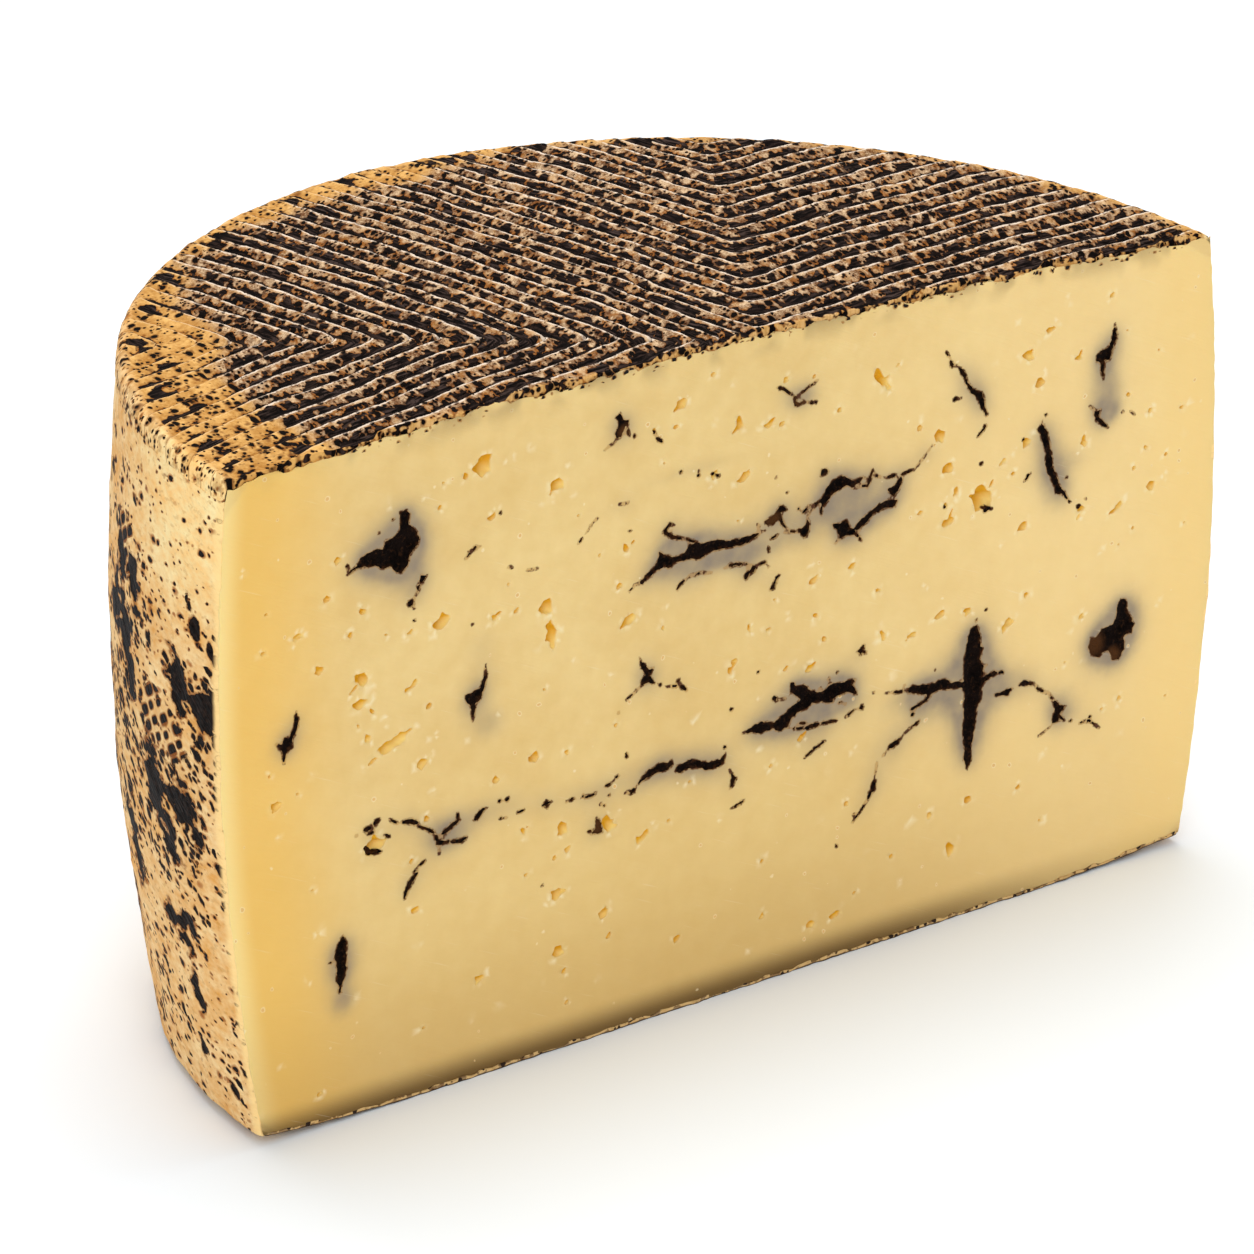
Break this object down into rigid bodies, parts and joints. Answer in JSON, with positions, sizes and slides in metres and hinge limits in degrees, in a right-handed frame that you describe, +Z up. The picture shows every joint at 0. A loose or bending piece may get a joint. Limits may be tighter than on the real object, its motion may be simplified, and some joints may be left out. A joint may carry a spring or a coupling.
{
  "type": "half cheese wheel",
  "caption": "Half of a pressed hard cheese wheel with a ridged, printed top rind, a flat cut face with eyes and dark truffle veins, standing on its base.",
  "frame": {"origin": "middle of the half wheel's bounding box, on the surface that it stands on", "axes": "+Z up along the wheel's axis, +X along the cut face, which looks along -Y"},
  "size_m": [0.1902, 0.0952, 0.1095],
  "materials": {
    "paste": "smooth cut cheese paste, slightly waxy",
    "rind": "dry golden rind with a dark mould-stained print",
    "truffle": "rough black truffle filling"
  },
  "bodies": {
    "root": {"half_wheel": "paste"}
  },
  "joints": []
}
